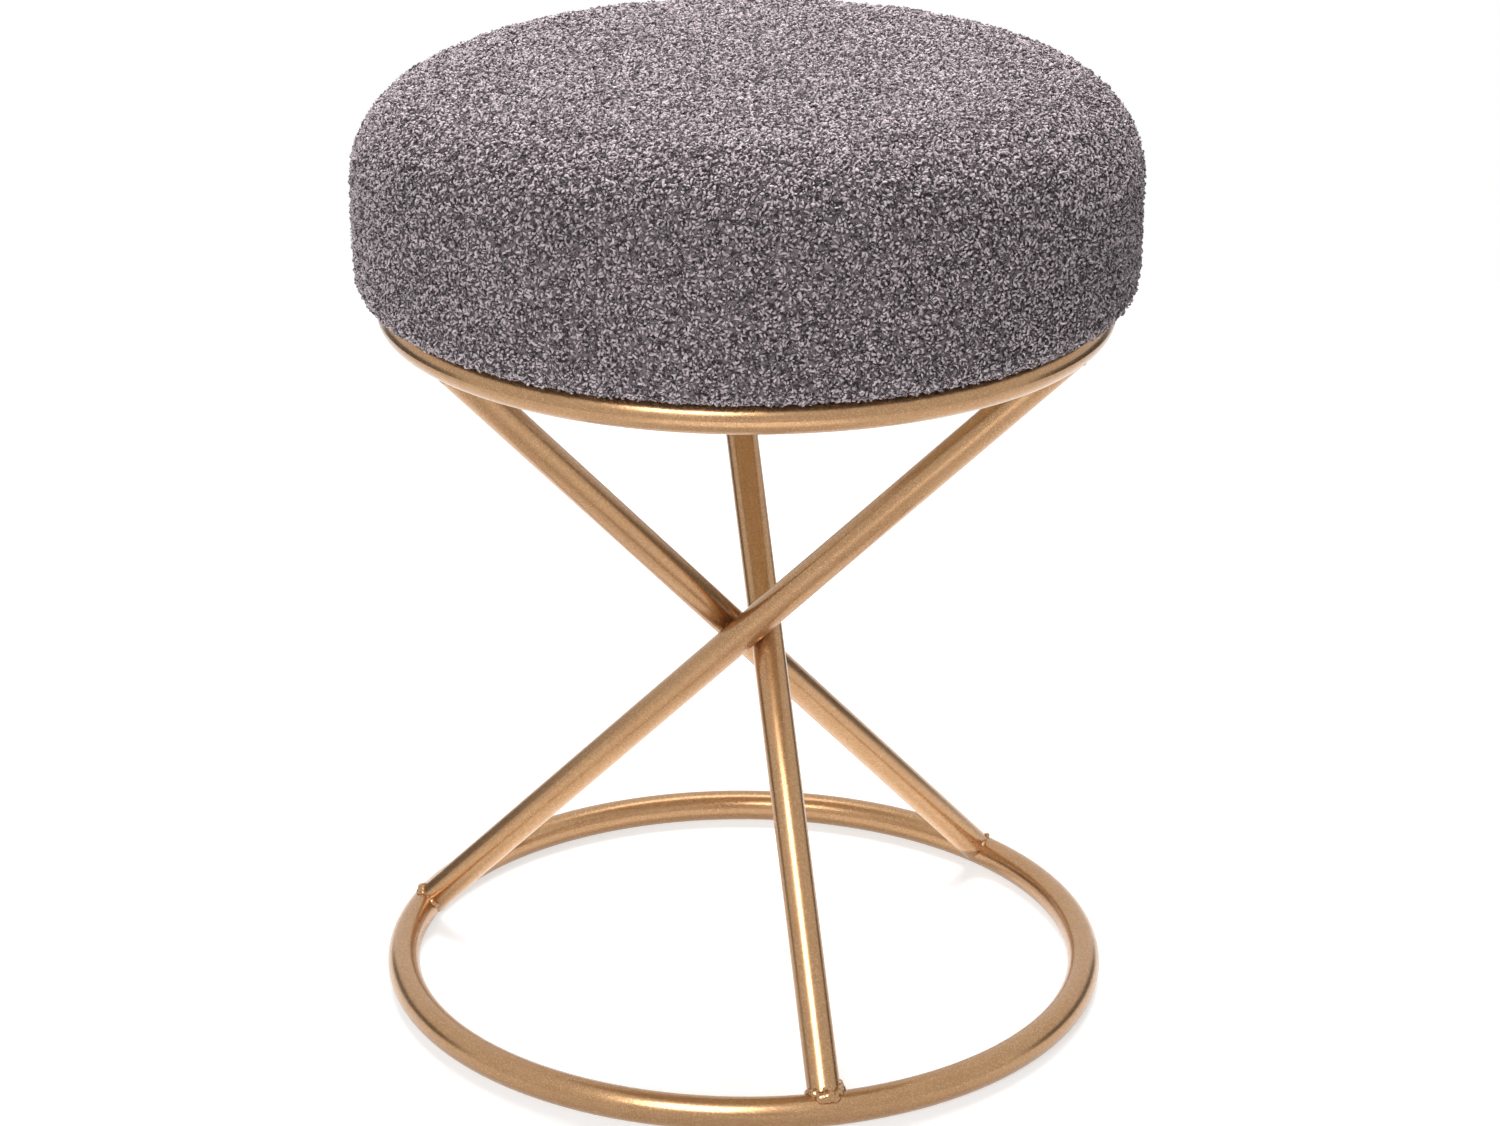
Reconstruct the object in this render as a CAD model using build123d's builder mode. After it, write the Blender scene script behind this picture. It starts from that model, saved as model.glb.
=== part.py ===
from build123d import *

import os
from math import acos, asin, atan2, cos, degrees, hypot, pi, radians, sin, sqrt

os.makedirs("parts", exist_ok=True)

# Round upholstered stool. A thick round cushion sits on a frame of two rolled rings joined by three
# straight tubes. The tubes lean the same way round, pass each other at a narrow waist and are tacked
# together there. Origin on the floor under the middle of the seat, +Z up, millimetres.

# Frame tube, one size throughout
TUBE_D = 16.0
TUBE_WALL = 1.2

# Rings: outer diameters, and the height of the seat ring's top above the floor
BASE_RING_OD = 361.0
SEAT_RING_OD = 353.0
FRAME_H = 361.0

# Legs: the angle of the first foot, and the room between neighbours where they pass at the waist
LEG_COUNT = 3
FIRST_FOOT_ANGLE = -77.2
LEG_GAP = 0.3

# Welding: room between a shaped tube end and the ring it lands on, how far short of the ring's centre
# line the thin ears of a shaped end stop, bead and tack sizes
COPE_GAP = 0.05
EAR_STOP = 4.0
BEAD_R = 1.8
TACK_R = 4.0
TAB_BEAD_R = 1.6

# Cushion: how far it stands past the seat ring, its height, and the radii of its section
SEAT_OVERHANG = 10.0
CUSHION_H = 108.0
CROWN_R = 2400.0
SHOULDER_R = 46.0
ROLL_R = 11.0
SIDE_DRAW = 0.5

# Cushion layers
COVER_T = 3.0
HEM_W = 45.0
FOAM_GAP = 0.2
BOARD_T = 12.0
DUST_T = 0.6
DUST_MARGIN = 4.0

# Tabs inside the seat ring that carry the cushion's screws
TAB_COUNT = 3
TAB_W = 22.0
TAB_T = 3.0
TAB_REACH = 16.0

# Screws, washers and tee nuts
SCREW_D = 6.0
SCREW_L = 16.0
SCREW_HEAD_D = 10.5
SCREW_HEAD_H = 3.3
SCREW_HEAD_ROUND = 1.6
SOCKET_ACROSS = 4.0
SOCKET_DEPTH = 2.0
SCREW_HOLE_ROOM = 0.5
WASHER_D = 14.0
WASHER_T = 1.6
WASHER_ROOM = 0.2
TEE_FLANGE_D = 19.0
TEE_FLANGE_T = 1.2
TEE_BARREL_D = 8.0
TEE_BARREL_L = 9.0
THREAD_ROOM = 0.05
TEE_ROOM = 0.1

# Staples in the hem and in the dust cover
HEM_STAPLES = 30
DUST_STAPLES = 15
STAPLE_W = 10.0
STAPLE_LEG = 8.0
WIRE_W = 1.2
WIRE_T = 0.6
STAPLE_INSET = 8.0

# Frame geometry worked out from the sizes above
TUBE_R = TUBE_D / 2
BASE_R = BASE_RING_OD / 2 - TUBE_R
SEAT_RING_R = SEAT_RING_OD / 2 - TUBE_R
BASE_Z = TUBE_R
SEAT_RING_Z = FRAME_H - TUBE_R
LEG_RISE = SEAT_RING_Z - BASE_Z
LEG_STEP = 360 / LEG_COUNT


def waist_twist():
    """Angle from a leg's foot to its head that leaves LEG_GAP between neighbouring legs where they pass."""
    spread = 1 - cos(radians(LEG_STEP))
    across = sin(radians(LEG_STEP))
    twist = pi
    for _ in range(20):
        run = sqrt(BASE_R**2 + SEAT_RING_R**2 - 2 * BASE_R * SEAT_RING_R * cos(twist))
        slant = sqrt(2 * spread * LEG_RISE**2 + (across * run) ** 2)
        offset_from_axis = (TUBE_D + LEG_GAP) * slant / (2 * spread * LEG_RISE)
        twist = pi - asin(offset_from_axis * run / (BASE_R * SEAT_RING_R))
    return degrees(twist)


TWIST = waist_twist()
FOOT_ANGLES = [FIRST_FOOT_ANGLE + LEG_STEP * k for k in range(LEG_COUNT)]
FIRST_TAB_ANGLE = FIRST_FOOT_ANGLE + TWIST + LEG_STEP / 2
TAB_STEP = 360 / TAB_COUNT
TAB_ANGLES = [FIRST_TAB_ANGLE + TAB_STEP * k for k in range(TAB_COUNT)]


def on_circle(radius, angle, z):
    """Point on a level circle about the stool's axis."""
    return Vector(radius * cos(radians(angle)), radius * sin(radians(angle)), z)


FEET = [on_circle(BASE_R, angle, BASE_Z) for angle in FOOT_ANGLES]
HEADS = [on_circle(SEAT_RING_R, angle + TWIST, SEAT_RING_Z) for angle in FOOT_ANGLES]
UP = [(HEADS[k] - FEET[k]).normalized() for k in range(LEG_COUNT)]
LEG_STARTS = [FEET[k] + UP[k] * EAR_STOP for k in range(LEG_COUNT)]
LEG_LENGTH = (HEADS[0] - FEET[0]).length - 2 * EAR_STOP

# Cushion section: arcs for the crown, the shoulder and the lower roll, with a straight side between the
# last two
SEAT_R = SEAT_RING_OD / 2 + SEAT_OVERHANG
SEAT_TOP = FRAME_H + CUSHION_H
CROWN_Z = SEAT_TOP - CROWN_R
SHOULDER_X = SEAT_R - SHOULDER_R
SHOULDER_Z = CROWN_Z + sqrt((CROWN_R - SHOULDER_R) ** 2 - SHOULDER_X**2)
SHOULDER_ANGLE = degrees(atan2(SHOULDER_Z - CROWN_Z, SHOULDER_X))
BOARD_R = SEAT_R - SIDE_DRAW - ROLL_R
ROLL_Z = FRAME_H + ROLL_R
RISE_TO_SHOULDER = SHOULDER_Z - ROLL_Z
SHIFT_TO_SHOULDER = SHOULDER_X - BOARD_R
CENTRES_APART = hypot(SHIFT_TO_SHOULDER, RISE_TO_SHOULDER)
CENTRES_ANGLE = degrees(atan2(RISE_TO_SHOULDER, SHIFT_TO_SHOULDER))
SIDE_ANGLE = CENTRES_ANGLE - degrees(acos((ROLL_R - SHOULDER_R) / CENTRES_APART))
BOARD_Z = FRAME_H + COVER_T
BOARD_TOP = BOARD_Z + BOARD_T
HEM_R = BOARD_R - HEM_W
DUST_Z = FRAME_H - DUST_T
DUST_R = SEAT_RING_R - TUBE_R - DUST_MARGIN

# Fastening stack, from the tabs down and from the board down
SCREW_CIRCLE_R = SEAT_RING_R - TUBE_R - TAB_REACH
SCREW_HOLE_D = SCREW_D + 2 * SCREW_HOLE_ROOM
TAB_Z = DUST_Z - TAB_T
WASHER_Z = TAB_Z - WASHER_T
HEAD_Z = WASHER_Z - SCREW_HEAD_H
TEE_FLANGE_Z = BOARD_TOP - TEE_FLANGE_T
TEE_BARREL_Z = TEE_FLANGE_Z - TEE_BARREL_L
HEM_STAPLE_R = HEM_R + STAPLE_INSET
DUST_STAPLE_R = DUST_R - STAPLE_INSET
FIRST_HEM_STAPLE = FIRST_TAB_ANGLE + 180 / HEM_STAPLES
FIRST_DUST_STAPLE = FIRST_TAB_ANGLE + 180 / DUST_STAPLES
DUST_STAPLE_Z = DUST_Z - WIRE_T


def ring_bar(ring_r, z, bar_r):
    """Solid ring of round bar, used to shape what lands on a tube ring."""
    with BuildPart() as bar:
        with BuildSketch(Plane.XZ):
            with Locations((ring_r, z)):
                Circle(bar_r)
        revolve(axis=Axis.Z)
    return bar.part


def leg_bar(k):
    """Solid bar of the tube's diameter along leg k, used to shape the welds round it."""
    with BuildPart() as bar:
        with BuildSketch(Plane(origin=LEG_STARTS[k], z_dir=UP[k])):
            Circle(TUBE_R)
        extrude(amount=LEG_LENGTH)
    return bar.part


base_bar = ring_bar(BASE_R, BASE_Z, TUBE_R)
seat_bar = ring_bar(SEAT_RING_R, SEAT_RING_Z, TUBE_R)
base_cope = ring_bar(BASE_R, BASE_Z, TUBE_R + COPE_GAP)
seat_cope = ring_bar(SEAT_RING_R, SEAT_RING_Z, TUBE_R + COPE_GAP)
leg_bars = [leg_bar(k) for k in range(LEG_COUNT)]

# Base ring and seat ring: round tube rolled to a full circle
with BuildPart() as base_ring:
    with BuildSketch(Plane.XZ):
        with Locations((BASE_R, BASE_Z)):
            Circle(TUBE_R)
            Circle(TUBE_R - TUBE_WALL, mode=Mode.SUBTRACT)
    revolve(axis=Axis.Z)
base_ring.part.label = "base_ring"
export_step(base_ring.part, "parts/base_ring.step")

with BuildPart() as seat_ring:
    with BuildSketch(Plane.XZ):
        with Locations((SEAT_RING_R, SEAT_RING_Z)):
            Circle(TUBE_R)
            Circle(TUBE_R - TUBE_WALL, mode=Mode.SUBTRACT)
    revolve(axis=Axis.Z)
seat_ring.part.label = "seat_ring"
export_step(seat_ring.part, "parts/seat_ring.step")

# Legs: straight tube between the rings, both ends shaped to saddle the ring they land on, without the ears
for k in range(LEG_COUNT):
    with BuildPart() as leg:
        with BuildSketch(Plane(origin=LEG_STARTS[k], z_dir=UP[k])):
            Circle(TUBE_R)
            Circle(TUBE_R - TUBE_WALL, mode=Mode.SUBTRACT)
        extrude(amount=LEG_LENGTH)
        add(base_cope, mode=Mode.SUBTRACT)
        add(seat_cope, mode=Mode.SUBTRACT)
    leg.part.label = f"leg_{k + 1}"
    export_step(leg.part, f"parts/leg_{k + 1}.step")


EAR_TURN = degrees(asin(EAR_STOP / TUBE_R))


def saddle_bead(on_ring, out, ring_angle, bar, ring):
    """Weld bead round a saddled tube end, with the leg and the ring then taken out of it.

    Two tubes of one diameter meet along two half ellipses, each in a plane that halves the angle between
    leg and ring. The bead follows both as far as the ears, and the level edge of the tube across each ear.
    """
    tangent = on_circle(1, ring_angle + 90, 0)
    along_ring = (tangent - out * tangent.dot(out)).normalized()
    side = out.cross(along_ring)
    end = on_ring + out * EAR_STOP
    with BuildPart() as bead:
        for lean in (along_ring, along_ring * -1):
            half = Plane(origin=on_ring, x_dir=side, z_dir=side.cross(out + lean))
            with BuildLine(half) as seam:
                EllipticalCenterArc((0, 0), TUBE_R, TUBE_R * sqrt(2), EAR_TURN, arc_size=180 - 2 * EAR_TURN)
            with BuildSketch(Plane(origin=seam.line @ 0, z_dir=seam.line % 0)):
                Circle(BEAD_R)
            sweep(path=seam.line)
        for ear in (side, side * -1):
            with BuildLine(Plane(origin=end, x_dir=ear, z_dir=out)) as edge:
                CenterArc((0, 0), TUBE_R, -EAR_TURN, 2 * EAR_TURN)
            with BuildSketch(Plane(origin=edge.line @ 0, z_dir=edge.line % 0)):
                Circle(BEAD_R)
            sweep(path=edge.line)
            with Locations(edge.line @ 0, edge.line @ 1):
                Sphere(BEAD_R)
        add(bar, mode=Mode.SUBTRACT)
        add(ring, mode=Mode.SUBTRACT)
    return bead.part


# Welds at the feet and at the heads of the legs
foot_beads = [saddle_bead(FEET[k], UP[k], FOOT_ANGLES[k], leg_bars[k], base_bar) for k in range(LEG_COUNT)]
head_beads = [
    saddle_bead(HEADS[k], UP[k] * -1, FOOT_ANGLES[k] + TWIST, leg_bars[k], seat_bar) for k in range(LEG_COUNT)
]
with BuildPart() as foot_welds:
    add(foot_beads)
foot_welds.part.label = "foot_welds"
export_step(foot_welds.part, "parts/foot_welds.step")

with BuildPart() as head_welds:
    add(head_beads)
head_welds.part.label = "head_welds"
export_step(head_welds.part, "parts/head_welds.step")


def passing_point(first, second):
    """Point midway between two legs where they pass closest."""
    apart = FEET[second] - FEET[first]
    along = UP[first].dot(UP[second])
    share = 1 - along**2
    on_first = (apart.dot(UP[first]) - apart.dot(UP[second]) * along) / share
    on_second = (apart.dot(UP[first]) * along - apart.dot(UP[second])) / share
    return (FEET[first] + UP[first] * on_first + FEET[second] + UP[second] * on_second) * 0.5


# Tacks that tie neighbouring legs together at the waist
PASSING = [passing_point(k, (k + 1) % LEG_COUNT) for k in range(LEG_COUNT)]
with BuildPart() as waist_welds:
    with Locations(*PASSING):
        Sphere(TACK_R)
    for bar in leg_bars:
        add(bar, mode=Mode.SUBTRACT)
waist_welds.part.label = "waist_welds"
export_step(waist_welds.part, "parts/waist_welds.step")

# Tabs: flat lugs with a round inner end, shaped to the inside of the seat ring
for k, angle in enumerate(TAB_ANGLES):
    with BuildPart() as seat_tab:
        with BuildSketch(Plane(origin=(0, 0, TAB_Z), x_dir=on_circle(1, angle, 0), z_dir=(0, 0, 1))):
            with Locations((SCREW_CIRCLE_R, 0)):
                Circle(TAB_W / 2)
                Rectangle(SEAT_RING_R - SCREW_CIRCLE_R, TAB_W, align=(Align.MIN, Align.CENTER))
                Circle(SCREW_HOLE_D / 2, mode=Mode.SUBTRACT)
        extrude(amount=TAB_T)
        add(seat_cope, mode=Mode.SUBTRACT)
    seat_tab.part.label = f"seat_tab_{k + 1}"
    export_step(seat_tab.part, f"parts/seat_tab_{k + 1}.step")

# Welds along the underside of the tabs, where they meet the seat ring
TAB_WELD_R = SEAT_RING_R - sqrt(TUBE_R**2 - (TAB_Z - SEAT_RING_Z) ** 2)
with BuildPart() as tab_welds:
    for angle in TAB_ANGLES:
        start = on_circle(TAB_WELD_R, angle, TAB_Z)
        with BuildSketch(Plane(origin=start, z_dir=on_circle(1, angle + 90, 0))):
            Circle(TAB_BEAD_R)
        extrude(amount=TAB_W / 2 - TAB_BEAD_R, both=True)
    add(seat_bar, mode=Mode.SUBTRACT)
    with BuildSketch(Plane.XY.offset(TAB_Z)):
        Circle(SEAT_RING_R)
    extrude(amount=TAB_T, mode=Mode.SUBTRACT)
tab_welds.part.label = "tab_welds"
export_step(tab_welds.part, "parts/tab_welds.step")


def staple_ring(radius, count, first_angle, z):
    """Ring of wire staples driven upwards, crowns along the circle with their lower face at z."""
    with BuildPart() as staples:
        with BuildSketch(Plane.XY.offset(z)):
            with PolarLocations(radius, count, first_angle):
                Rectangle(WIRE_W, STAPLE_W)
        extrude(amount=WIRE_T)
        with BuildSketch(Plane.XY.offset(z)):
            with PolarLocations(radius, count, first_angle):
                with Locations((0, (STAPLE_W - WIRE_T) / 2), (0, (WIRE_T - STAPLE_W) / 2)):
                    Rectangle(WIRE_W, WIRE_T)
        extrude(amount=STAPLE_LEG)
    return staples


# Staples: the hem's crowns sink into the pile until flush, the dust cover's lie on its face
cover_staples = staple_ring(HEM_STAPLE_R, HEM_STAPLES, FIRST_HEM_STAPLE, FRAME_H)
cover_staples.part.label = "cover_staples"
export_step(cover_staples.part, "parts/cover_staples.step")

dust_staples = staple_ring(DUST_STAPLE_R, DUST_STAPLES, FIRST_DUST_STAPLE, DUST_STAPLE_Z)
dust_staples.part.label = "dust_staples"
export_step(dust_staples.part, "parts/dust_staples.step")

# Seat board: plywood disc with a stepped hole for each tee nut
with BuildPart() as seat_board:
    with BuildSketch(Plane.XY.offset(BOARD_Z)):
        Circle(BOARD_R)
    extrude(amount=BOARD_T)
    with BuildSketch(Plane.XY.offset(BOARD_Z)):
        with PolarLocations(SCREW_CIRCLE_R, TAB_COUNT, FIRST_TAB_ANGLE):
            Circle(TEE_BARREL_D / 2 + TEE_ROOM)
    extrude(amount=BOARD_T, mode=Mode.SUBTRACT)
    with BuildSketch(Plane.XY.offset(TEE_FLANGE_Z)):
        with PolarLocations(SCREW_CIRCLE_R, TAB_COUNT, FIRST_TAB_ANGLE):
            Circle(TEE_FLANGE_D / 2 + TEE_ROOM)
    extrude(amount=TEE_FLANGE_T, mode=Mode.SUBTRACT)
    add(cover_staples.part, mode=Mode.SUBTRACT)
    add(dust_staples.part, mode=Mode.SUBTRACT)
seat_board.part.label = "seat_board"
export_step(seat_board.part, "parts/seat_board.step")


def cushion_side(inset):
    """Right half of the cushion's section drawn in by inset, from the top middle to the board's edge."""
    crown = CenterArc((0, CROWN_Z), CROWN_R - inset, SHOULDER_ANGLE, 90 - SHOULDER_ANGLE)
    shoulder_sweep = SHOULDER_ANGLE - SIDE_ANGLE
    shoulder = CenterArc((SHOULDER_X, SHOULDER_Z), SHOULDER_R - inset, SIDE_ANGLE, shoulder_sweep)
    roll = CenterArc((BOARD_R, ROLL_Z), ROLL_R - inset, -90, SIDE_ANGLE + 90)
    Line(roll @ 1, shoulder @ 0)
    return crown, roll


# Foam pad: fills the cover, with a recess that the board sits in up to its lower edge
FOAM_INSET = COVER_T + FOAM_GAP
with BuildPart() as foam_pad:
    with BuildSketch(Plane.XZ):
        with BuildLine():
            crown, roll = cushion_side(FOAM_INSET)
            Polyline(roll @ 0, (BOARD_R, BOARD_TOP), (0, BOARD_TOP), crown @ 1)
        make_face()
    revolve(axis=Axis.Z)
foam_pad.part.label = "foam_pad"
export_step(foam_pad.part, "parts/foam_pad.step")

# Seat cover: pile fabric over the foam, turned under the board as a hem
with BuildPart() as seat_cover:
    with BuildSketch(Plane.XZ):
        with BuildLine():
            outer_crown, outer_roll = cushion_side(0)
            inner_crown, inner_roll = cushion_side(COVER_T)
            Line(outer_crown @ 1, inner_crown @ 1)
            Polyline(outer_roll @ 0, (HEM_R, FRAME_H), (HEM_R, BOARD_Z), inner_roll @ 0)
        make_face()
    revolve(axis=Axis.Z)
    with BuildSketch(Plane.XY.offset(FRAME_H)):
        with PolarLocations(SCREW_CIRCLE_R, TAB_COUNT, FIRST_TAB_ANGLE):
            Circle(SCREW_HOLE_D / 2)
    extrude(amount=COVER_T, mode=Mode.SUBTRACT)
    add(cover_staples.part, mode=Mode.SUBTRACT)
    add(dust_staples.part, mode=Mode.SUBTRACT)
seat_cover.part.label = "seat_cover"
export_step(seat_cover.part, "parts/seat_cover.step")

# Dust cover: thin cloth disc over the hem's raw edge
with BuildPart() as dust_cover:
    with BuildSketch(Plane.XY.offset(DUST_Z)):
        Circle(DUST_R)
        with PolarLocations(SCREW_CIRCLE_R, TAB_COUNT, FIRST_TAB_ANGLE):
            Circle(SCREW_HOLE_D / 2, mode=Mode.SUBTRACT)
    extrude(amount=DUST_T)
    add(dust_staples.part, mode=Mode.SUBTRACT)
dust_cover.part.label = "dust_cover"
export_step(dust_cover.part, "parts/dust_cover.step")

# Tee nuts: flange let into the top of the board, barrel in its hole
with BuildPart() as tee_nuts:
    with BuildSketch(Plane.XY.offset(TEE_FLANGE_Z)):
        with PolarLocations(SCREW_CIRCLE_R, TAB_COUNT, FIRST_TAB_ANGLE):
            Circle(TEE_FLANGE_D / 2)
    extrude(amount=TEE_FLANGE_T)
    with BuildSketch(Plane.XY.offset(TEE_BARREL_Z)):
        with PolarLocations(SCREW_CIRCLE_R, TAB_COUNT, FIRST_TAB_ANGLE):
            Circle(TEE_BARREL_D / 2)
    extrude(amount=TEE_BARREL_L)
    with BuildSketch(Plane.XY.offset(TEE_BARREL_Z)):
        with PolarLocations(SCREW_CIRCLE_R, TAB_COUNT, FIRST_TAB_ANGLE):
            Circle(SCREW_D / 2 + THREAD_ROOM)
    extrude(amount=TEE_BARREL_L + TEE_FLANGE_T, mode=Mode.SUBTRACT)
tee_nuts.part.label = "tee_nuts"
export_step(tee_nuts.part, "parts/tee_nuts.step")

# Washers under the tabs
with BuildPart() as screw_washers:
    with BuildSketch(Plane.XY.offset(WASHER_Z)):
        with PolarLocations(SCREW_CIRCLE_R, TAB_COUNT, FIRST_TAB_ANGLE):
            Circle(WASHER_D / 2)
            Circle(SCREW_D / 2 + WASHER_ROOM, mode=Mode.SUBTRACT)
    extrude(amount=WASHER_T)
screw_washers.part.label = "screw_washers"
export_step(screw_washers.part, "parts/screw_washers.step")

# Screws: button heads with a hexagon socket, driven from below
with BuildPart() as seat_screws:
    with BuildSketch(Plane.XY.offset(HEAD_Z)):
        with PolarLocations(SCREW_CIRCLE_R, TAB_COUNT, FIRST_TAB_ANGLE):
            Circle(SCREW_HEAD_D / 2)
    extrude(amount=SCREW_HEAD_H)
    fillet(seat_screws.edges().group_by(Axis.Z)[0], radius=SCREW_HEAD_ROUND)
    with BuildSketch(Plane.XY.offset(HEAD_Z)):
        with PolarLocations(SCREW_CIRCLE_R, TAB_COUNT, FIRST_TAB_ANGLE):
            RegularPolygon(SOCKET_ACROSS / 2, side_count=6, major_radius=False)
    extrude(amount=SOCKET_DEPTH, mode=Mode.SUBTRACT)
    with BuildSketch(Plane.XY.offset(WASHER_Z)):
        with PolarLocations(SCREW_CIRCLE_R, TAB_COUNT, FIRST_TAB_ANGLE):
            Circle(SCREW_D / 2)
    extrude(amount=SCREW_L)
seat_screws.part.label = "seat_screws"
export_step(seat_screws.part, "parts/seat_screws.step")
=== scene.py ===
# %% [markdown]
# # A round boucle stool on a twisted tube frame
#
# The stool has two rings of round tube, three leaning tubes between them and a thick round
# cushion. The construction model gives every rigid piece at its real size, so those only need
# their finish here. The soft pieces and the welds are modelled in this file, because cloth and
# molten metal follow no drawing.

# %% Load the construction model
import math
from random import Random

import bmesh
import bpy
import numpy as np
from mathutils import Matrix, Vector, noise
from mathutils.geometry import intersect_line_line


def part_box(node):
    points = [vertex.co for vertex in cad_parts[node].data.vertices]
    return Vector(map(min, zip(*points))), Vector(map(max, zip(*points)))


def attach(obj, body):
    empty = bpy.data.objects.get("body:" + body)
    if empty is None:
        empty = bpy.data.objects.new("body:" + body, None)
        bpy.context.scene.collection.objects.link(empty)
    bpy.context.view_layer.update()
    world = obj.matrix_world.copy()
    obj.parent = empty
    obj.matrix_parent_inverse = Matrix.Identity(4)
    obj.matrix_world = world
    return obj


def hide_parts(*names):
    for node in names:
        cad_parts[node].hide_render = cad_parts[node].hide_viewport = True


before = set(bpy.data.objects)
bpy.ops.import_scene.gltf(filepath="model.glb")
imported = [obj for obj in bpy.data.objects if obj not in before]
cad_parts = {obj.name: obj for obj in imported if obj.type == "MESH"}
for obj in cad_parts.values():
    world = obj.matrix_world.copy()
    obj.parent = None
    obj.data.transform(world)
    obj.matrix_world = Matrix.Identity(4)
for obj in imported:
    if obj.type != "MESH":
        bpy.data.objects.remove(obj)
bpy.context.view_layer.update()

# %% [markdown]
# ## Sizes
#
# Each place below is read from the construction model, so that a changed model carries its looks
# along. All lengths are in metres, and MM keeps small ones readable.

# %% Read the main sizes
MM = 0.001
base_low, base_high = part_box("base_ring")
ring_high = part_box("seat_ring")[1]
cover_low, cover_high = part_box("seat_cover")
TUBE_R = (base_high.z - base_low.z) / 2
SEAT_RING_R = ring_high.x - TUBE_R
SEAT_RING_Z = ring_high.z - TUBE_R
SEAT_R = cover_high.x
SEAT_TOP = cover_high.z
SEAT_BOTTOM = cover_low.z
print(f"tube {2 * TUBE_R / MM:.1f} mm, seat {2 * SEAT_R / MM:.1f} mm across, "
      f"{SEAT_TOP / MM:.1f} mm high")

# %% [markdown]
# ## Camera
#
# The picture was taken from a little above with a long lens, so the rings look like flat ovals
# with little perspective. The focal length is given in pixels of a picture 1500 pixels wide, and
# the width of Blender's own sensor turns that into millimetres.

# %% Place the camera
PICTURE_WIDTH_PX = 1500
FOCAL_PX = 4036
CAMERA_AT = Vector((-0.0097, -1.8427, 0.9391))
CAMERA_PITCH = math.radians(21.37)
CAMERA_YAW = math.radians(0.37)
CAMERA_ROLL = math.radians(0.28)

camera_data = bpy.data.cameras.new("camera")
camera_data.lens = camera_data.sensor_width * FOCAL_PX / PICTURE_WIDTH_PX
camera = bpy.data.objects.new("camera", camera_data)
bpy.context.scene.collection.objects.link(camera)
camera.matrix_world = (
    Matrix.Translation(CAMERA_AT)
    @ Matrix.Rotation(-CAMERA_YAW, 4, "Z")
    @ Matrix.Rotation(math.pi / 2 - CAMERA_PITCH, 4, "X")
    @ Matrix.Rotation(CAMERA_ROLL, 4, "Z")
)
bpy.context.scene.camera = camera
bpy.context.scene.view_settings.view_transform = "Standard"
print(f"camera with a {camera_data.lens:.1f} mm lens")

# %% [markdown]
# ## Helpers for nodes
#
# Materials are built from nodes. A short helper that adds a node, sets it up and joins it to what
# feeds it keeps each finish readable, and the nodes that come up most have a helper each. Some
# sockets of a node share one name, so those are given by their number.

# %% Helpers that add and join nodes
MIX_FIRST, MIX_SECOND, MIX_RESULT = 6, 7, 2


def set_inputs(tree, node, inputs):
    """Gives inputs of a node plain values or the outputs that feed them."""
    for name, value in inputs.items():
        if isinstance(value, bpy.types.NodeSocket):
            tree.links.new(value, node.inputs[name])
        else:
            node.inputs[name].default_value = value


def wire(tree, kind, inputs=None, **settings):
    """Adds a node, sets it up and gives it its inputs."""
    made = tree.nodes.new(kind)
    for name, value in settings.items():
        setattr(made, name, value)
    set_inputs(tree, made, inputs or {})
    return made


def maths(tree, operation, *values, clamp=False):
    """Result of a Math node on up to three values."""
    inputs = dict(enumerate(values))
    return wire(tree, "ShaderNodeMath", inputs, operation=operation, use_clamp=clamp).outputs[0]


def remap(tree, value, low=0.0, high=1.0, to_low=0.0, to_high=1.0, **settings):
    """Value moved from the range of low to high into another range."""
    inputs = {0: value, 1: low, 2: high, 3: to_low, 4: to_high}
    return wire(tree, "ShaderNodeMapRange", inputs, **settings).outputs[0]


def blend(tree, share, first, second):
    """Colour that goes from the first to the second while the share goes from 0 to 1."""
    mix = wire(tree, "ShaderNodeMix", {0: share}, data_type="RGBA")
    for socket, colour in ((MIX_FIRST, first), (MIX_SECOND, second)):
        plain = not isinstance(colour, bpy.types.NodeSocket)
        set_inputs(tree, mix, {socket: (*colour, 1) if plain else colour})
    return mix.outputs[MIX_RESULT]


def bump(tree, height, strength, distance):
    """Normal that a height pushes about."""
    inputs = {"Height": height, "Strength": strength, "Distance": distance}
    return wire(tree, "ShaderNodeBump", inputs).outputs[0]


print("colour sockets of a Mix node:", MIX_FIRST, MIX_SECOND, MIX_RESULT)

# %% [markdown]
# ## White surroundings
#
# The stool stands on a white sweep. White could come from very strong lamps, but those would
# bleach the cushion. So the floor is a plain grey that takes the light and the shadow, and what
# the camera and the reflections see of it is lifted by the type of their rays. Further out it
# fades to plain white, so that no horizon shows.

# %% White world
AMBIENT = 0.18
WHITE = (1, 1, 1, 1)


def seen_directly(tree):
    """1 for what the camera, a reflection or a clear body sees, 0 for rays that carry light."""
    path = wire(tree, "ShaderNodeLightPath").outputs
    shown = maths(tree, "MAXIMUM", path["Is Camera Ray"], path["Is Glossy Ray"])
    return maths(tree, "MAXIMUM", shown, path["Is Transmission Ray"])


world = bpy.data.worlds.new("white_studio")
bpy.context.scene.world = world
world.use_nodes = True
sky = world.node_tree
sky.nodes.clear()
ambient = wire(sky, "ShaderNodeBackground", {"Color": WHITE, "Strength": AMBIENT})
white = wire(sky, "ShaderNodeBackground", {"Color": WHITE, "Strength": 1.0})
either = wire(sky, "ShaderNodeMixShader",
              {0: seen_directly(sky), 1: ambient.outputs[0], 2: white.outputs[0]})
wire(sky, "ShaderNodeOutputWorld", {"Surface": either.outputs[0]})
print("world of", world.name)

# %% Floor
FLOOR_REACH = 8.0
FLOOR_GREY = 0.52
FLOOR_LIFT = 0.62
FLOOR_NEAR = 0.55
FLOOR_FAR = 1.3


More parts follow.
